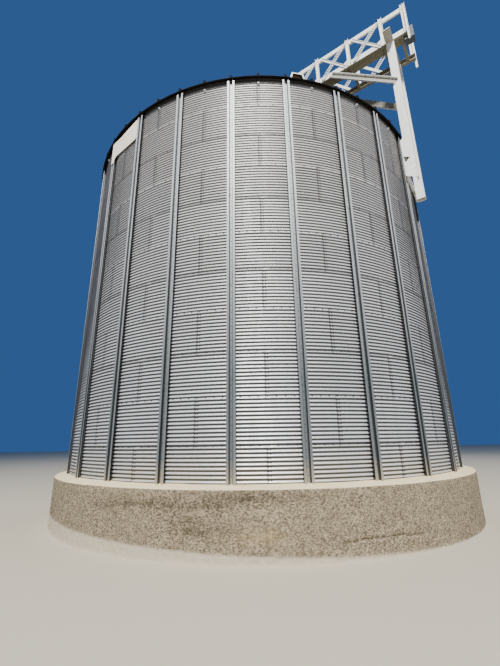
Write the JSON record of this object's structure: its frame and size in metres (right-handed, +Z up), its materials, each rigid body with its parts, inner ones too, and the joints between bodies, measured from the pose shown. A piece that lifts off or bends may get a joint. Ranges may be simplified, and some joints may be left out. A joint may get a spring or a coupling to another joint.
{
  "type": "grain silo",
  "caption": "Corrugated steel grain silo with outside stiffeners on a round concrete plinth, a cloth banner under the eave and a white conveyor bridge to its peak",
  "frame": {"origin": "centre of the plinth's underside, on the silo's upright axis", "axes": "+Z up, -Y the front seen in the picture, +X to its right"},
  "size_m": [12.3864, 12.3864, 16.02],
  "materials": {
    "concrete": "rough-cast concrete, weathered and stained",
    "galvanised_sheet": "hot-dip galvanised corrugated sheet, dulled",
    "galvanised_section": "galvanised cold-formed hat section, dulled",
    "roof_steel": "ribbed steel roof sheet, weathered dark",
    "banner_cloth": "stretched coated cloth, faded",
    "cream_paint": "matt off-white paint on rolled steel",
    "grey_paint": "matt grey paint on sheet steel"
  },
  "bodies": {
    "root": {"plinth": "concrete", "wall_segment_01": "galvanised_sheet", "wall_segment_02": "galvanised_sheet", "wall_segment_03": "galvanised_sheet", "wall_segment_04": "galvanised_sheet", "wall_segment_05": "galvanised_sheet", "wall_segment_06": "galvanised_sheet", "wall_segment_07": "galvanised_sheet", "wall_segment_08": "galvanised_sheet", "wall_segment_09": "galvanised_sheet", "wall_segment_10": "galvanised_sheet", "wall_segment_11": "galvanised_sheet", "wall_segment_12": "galvanised_sheet", "wall_segment_13": "galvanised_sheet", "stiffener_01": "galvanised_section", "stiffener_02": "galvanised_section", "stiffener_03": "galvanised_section", "stiffener_04": "galvanised_section", "stiffener_05": "galvanised_section", "stiffener_06": "galvanised_section", "stiffener_07": "galvanised_section", "stiffener_08": "galvanised_section", "stiffener_09": "galvanised_section", "stiffener_10": "galvanised_section", "stiffener_11": "galvanised_section", "stiffener_12": "galvanised_section", "stiffener_13": "galvanised_section", "stiffener_14": "galvanised_section", "stiffener_15": "galvanised_section", "stiffener_16": "galvanised_section", "stiffener_17": "galvanised_section", "stiffener_18": "galvanised_section", "stiffener_19": "galvanised_section", "stiffener_20": "galvanised_section", "stiffener_21": "galvanised_section", "stiffener_22": "galvanised_section", "stiffener_23": "galvanised_section", "stiffener_24": "galvanised_section", "stiffener_25": "galvanised_section", "stiffener_26": "galvanised_section", "roof_quarter_1": "roof_steel", "roof_quarter_2": "roof_steel", "roof_quarter_3": "roof_steel", "roof_quarter_4": "roof_steel", "peak_collar": "roof_steel", "roof_vent": "cream_paint", "banner": "banner_cloth", "bridge_bed": "cream_paint", "near_side_truss": "cream_paint", "far_side_truss": "cream_paint", "near_column": "cream_paint", "far_column": "cream_paint", "column_cap_plate": "cream_paint", "near_knee_brace": "cream_paint", "far_knee_brace": "cream_paint", "lower_wall_rail": "cream_paint", "conveyor_trough": "cream_paint", "conveyor_boot": "grey_paint", "discharge_spout": "grey_paint", "peak_stool": "cream_paint"}
  },
  "joints": []
}
